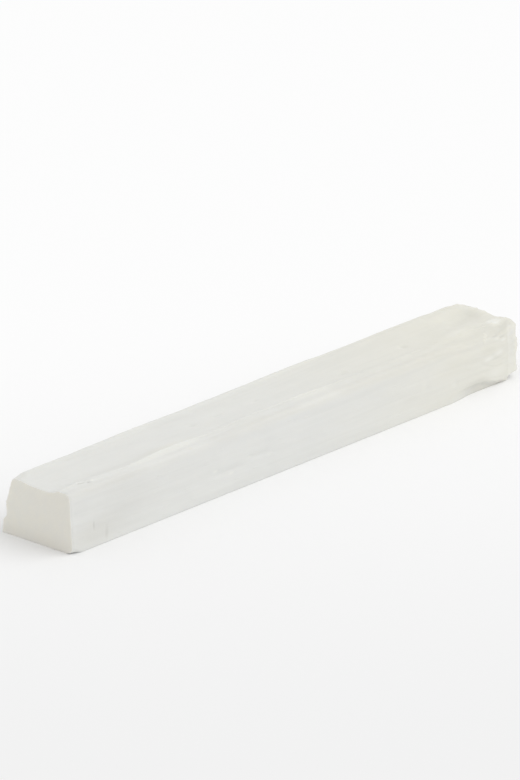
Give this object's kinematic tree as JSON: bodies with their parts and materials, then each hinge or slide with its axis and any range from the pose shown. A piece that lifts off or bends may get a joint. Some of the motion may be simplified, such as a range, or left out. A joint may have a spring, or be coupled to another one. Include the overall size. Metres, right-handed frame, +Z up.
{
  "type": "selenite stick",
  "caption": "Long four-sided bar of fibrous white gypsum with a low ridge along its top, sawn square at one end and snapped off at the other.",
  "frame": {"origin": "under the middle of the bar, on its flat underside", "axes": "+X along the bar from its sawn end to its broken end, -Y towards the straight long side, +Z up"},
  "size_m": [0.204, 0.0288, 0.0201],
  "materials": {
    "satin_gypsum": "translucent silky white gypsum with fibres along its length, chalky where it is sawn"
  },
  "bodies": {
    "root": {"selenite_stick": "satin_gypsum"}
  },
  "joints": []
}
